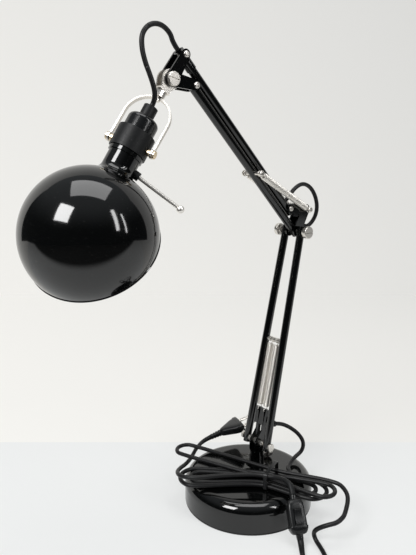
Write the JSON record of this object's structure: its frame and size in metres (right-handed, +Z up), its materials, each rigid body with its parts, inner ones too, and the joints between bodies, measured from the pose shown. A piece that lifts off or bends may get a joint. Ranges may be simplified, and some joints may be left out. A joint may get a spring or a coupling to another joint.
{
  "type": "desk lamp",
  "caption": "Balanced-arm desk lamp: round weighted base, twin-tube sprung lower arm, parallel-link upper arm and a round turning shade with a handle.",
  "frame": {"origin": "centre of the round base's underside", "axes": "+Z up, +X towards the side the lamp head reaches over, +Y along the arm hinges"},
  "size_m": [0.3656, 0.2275, 0.521],
  "materials": {
    "black_enamel": "high gloss",
    "nickel": "bright nickel plate",
    "cord_rubber": "satin",
    "black_plastic": "gloss",
    "matte_black_plastic": "matte",
    "foam_pad": "matte",
    "iron": "rough",
    "white_insulator": "matte",
    "brass": "satin",
    "bulb_glass": "frosted"
  },
  "bodies": {
    "base": {"base_cover": "black_enamel", "base_pad": "foam_pad", "base_weight": "iron", "swivel_socket": "black_enamel", "cord_hank": "cord_rubber", "hank_tie": "black_plastic", "lead_run": "cord_rubber", "plug_lead": "cord_rubber", "switch_body": "black_plastic", "plug_body": "black_plastic", "plug_pins": "nickel"},
    "socket_clamp_screw": {"socket_clamp_screw": "nickel"},
    "swivel_bracket": {"swivel_bracket": "black_enamel", "pivot_bolt": "nickel", "pivot_spacers": "nickel", "near_lower_spring": "nickel", "far_lower_spring": "nickel", "lead_out": "cord_rubber"},
    "lower_arm": {"near_lower_tube": "black_enamel", "far_lower_tube": "black_enamel", "lower_spring_pin": "nickel", "cord_grommets": "matte_black_plastic", "elbow_bracket": "black_enamel", "elbow_bolt": "nickel", "upper_spring_anchor": "nickel", "link_bolt": "nickel", "near_upper_spring": "nickel", "far_upper_spring": "nickel", "elbow_cord": "cord_rubber"},
    "near_elbow_knob": {"near_elbow_knob": "nickel"},
    "far_elbow_knob": {"far_elbow_knob": "nickel"},
    "upper_arm": {"upper_arm_tube": "black_enamel", "upper_spring_pin": "nickel"},
    "upper_link": {"link_tube": "black_enamel", "link_sleeve": "black_enamel"},
    "head_bracket": {"near_head_plate": "black_enamel", "far_head_plate": "black_enamel", "head_screws": "nickel", "tilt_screw": "nickel", "head_cord": "cord_rubber"},
    "head_clamp": {"head_clamp": "nickel", "yoke_stud": "nickel", "stud_nut": "nickel"},
    "yoke": {"yoke": "nickel", "yoke_screws": "nickel"},
    "lamp_head": {"holder_collar": "matte_black_plastic", "holder_cap": "black_plastic", "cord_grip": "matte_black_plastic", "socket_insulator": "white_insulator", "socket_thread": "brass", "centre_contact": "brass", "bulb_cap": "nickel", "bulb_glass": "bulb_glass"},
    "shade": {"shade_bowl": "black_enamel", "shade_neck": "black_enamel", "handle_rod": "nickel", "handle_grommet": "matte_black_plastic"},
    "switch_rocker": {"switch_rocker": "black_plastic"}
  },
  "joints": [
    {"name": "base_swivel", "type": "hinge", "parent": "base", "child": "swivel_bracket", "pos_m": [-0.0229, -0.0095, 0.045], "axis": [0, 0, 1], "range_deg": [-85, 85], "deforming": ["lead_out"]},
    {"name": "socket_clamp_turn", "type": "hinge", "parent": "base", "child": "socket_clamp_screw", "pos_m": [-0.0409, -0.0095, 0.041], "axis": [-1, 0, 0], "range_deg": [-180, 180]},
    {"name": "lower_arm_tilt", "type": "hinge", "parent": "swivel_bracket", "child": "lower_arm", "pos_m": [-0.0229, -0.0095, 0.061], "axis": [0, 1, 0], "range_deg": [-12, 35], "deforming": ["near_lower_spring", "far_lower_spring"]},
    {"name": "near_knob_turn", "type": "hinge", "parent": "lower_arm", "child": "near_elbow_knob", "pos_m": [-0.07566, -0.0095, 0.31355], "axis": [0, 1, 0], "range_deg": [-180, 180]},
    {"name": "far_knob_turn", "type": "hinge", "parent": "lower_arm", "child": "far_elbow_knob", "pos_m": [-0.07566, -0.0095, 0.31355], "axis": [0, -1, 0], "range_deg": [-180, 180]},
    {"name": "upper_arm_tilt", "type": "hinge", "parent": "lower_arm", "child": "upper_arm", "pos_m": [-0.07566, -0.0095, 0.31355], "axis": [0, 1, 0], "range_deg": [-1, 45], "deforming": ["near_upper_spring", "far_upper_spring", "elbow_cord"]},
    {"name": "upper_link_tilt", "type": "hinge", "parent": "lower_arm", "child": "upper_link", "pos_m": [-0.06346, -0.0095, 0.34075], "axis": [0, 1, 0], "range_deg": [-1, 45]},
    {"name": "head_bracket_level", "type": "hinge", "parent": "upper_arm", "child": "head_bracket", "pos_m": [0.07367, -0.0095, 0.46684], "axis": [0, 1, 0], "range_deg": [-45, 1]},
    {"name": "clamp_tilt", "type": "hinge", "parent": "head_bracket", "child": "head_clamp", "pos_m": [0.10147, -0.0095, 0.47064], "axis": [0, 1, 0], "range_deg": [-30, 30], "deforming": ["head_cord"]},
    {"name": "yoke_swivel", "type": "hinge", "parent": "head_clamp", "child": "yoke", "pos_m": [0.11357, -0.0095, 0.45348], "axis": [-0.5764, 0, 0.8171], "range_deg": [-75, 75]},
    {"name": "head_tilt", "type": "hinge", "parent": "yoke", "child": "lamp_head", "pos_m": [0.14447, -0.0095, 0.40968], "axis": [-0.5109, 0.7804, -0.3604], "range_deg": [-35, 35]},
    {"name": "shade_turn", "type": "hinge", "parent": "lamp_head", "child": "shade", "pos_m": [0.14989, -0.00983, 0.40128], "axis": [-0.5423, 0.0327, 0.8396], "range_deg": [-90, 90]},
    {"name": "switch_rock", "type": "hinge", "parent": "base", "child": "switch_rocker", "pos_m": [0.01636, 0.09572, 0.03029], "axis": [0.8944, -0.4472, 0], "range_deg": [-6, 6]}
  ],
  "couplings": [
    {"joint": "upper_link_tilt", "follows": "upper_arm_tilt", "ratio": 1},
    {"joint": "head_bracket_level", "follows": "upper_arm_tilt", "ratio": -1}
  ]
}
